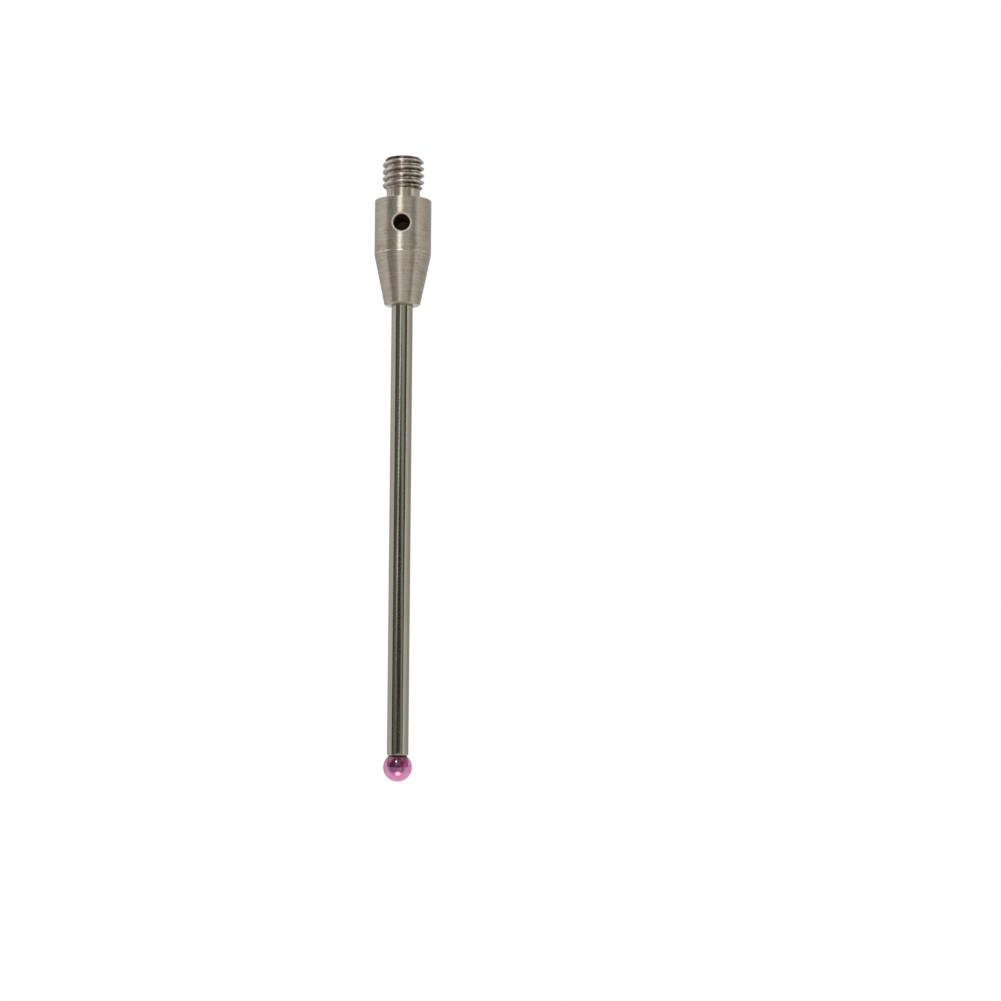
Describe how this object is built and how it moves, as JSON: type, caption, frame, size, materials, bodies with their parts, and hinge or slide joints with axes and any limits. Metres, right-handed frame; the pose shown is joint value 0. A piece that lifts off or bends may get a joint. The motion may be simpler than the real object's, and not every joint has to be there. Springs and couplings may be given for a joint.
{
  "type": "cmm stylus",
  "caption": "Straight touch-probe stylus: a threaded stud on a round tapered steel holder, a slim ground carbide stem and a small ruby ball at its end.",
  "frame": {"origin": "centre of the flat seat face that meets the probe", "axes": "+Z along the stylus axis, up the threaded stud; the ball points down -Z and the cross hole opens towards -Y"},
  "size_m": [0.004, 0.004, 0.044],
  "materials": {
    "turned_steel": "fine turned stainless steel",
    "ground_carbide": "ground and polished tungsten carbide",
    "ruby": "lapped synthetic ruby",
    "adhesive": "cured dark epoxy"
  },
  "bodies": {
    "root": {"holder": "turned_steel", "stem": "ground_carbide", "ball": "ruby", "ball_adhesive": "adhesive", "stem_adhesive": "adhesive"}
  },
  "joints": []
}
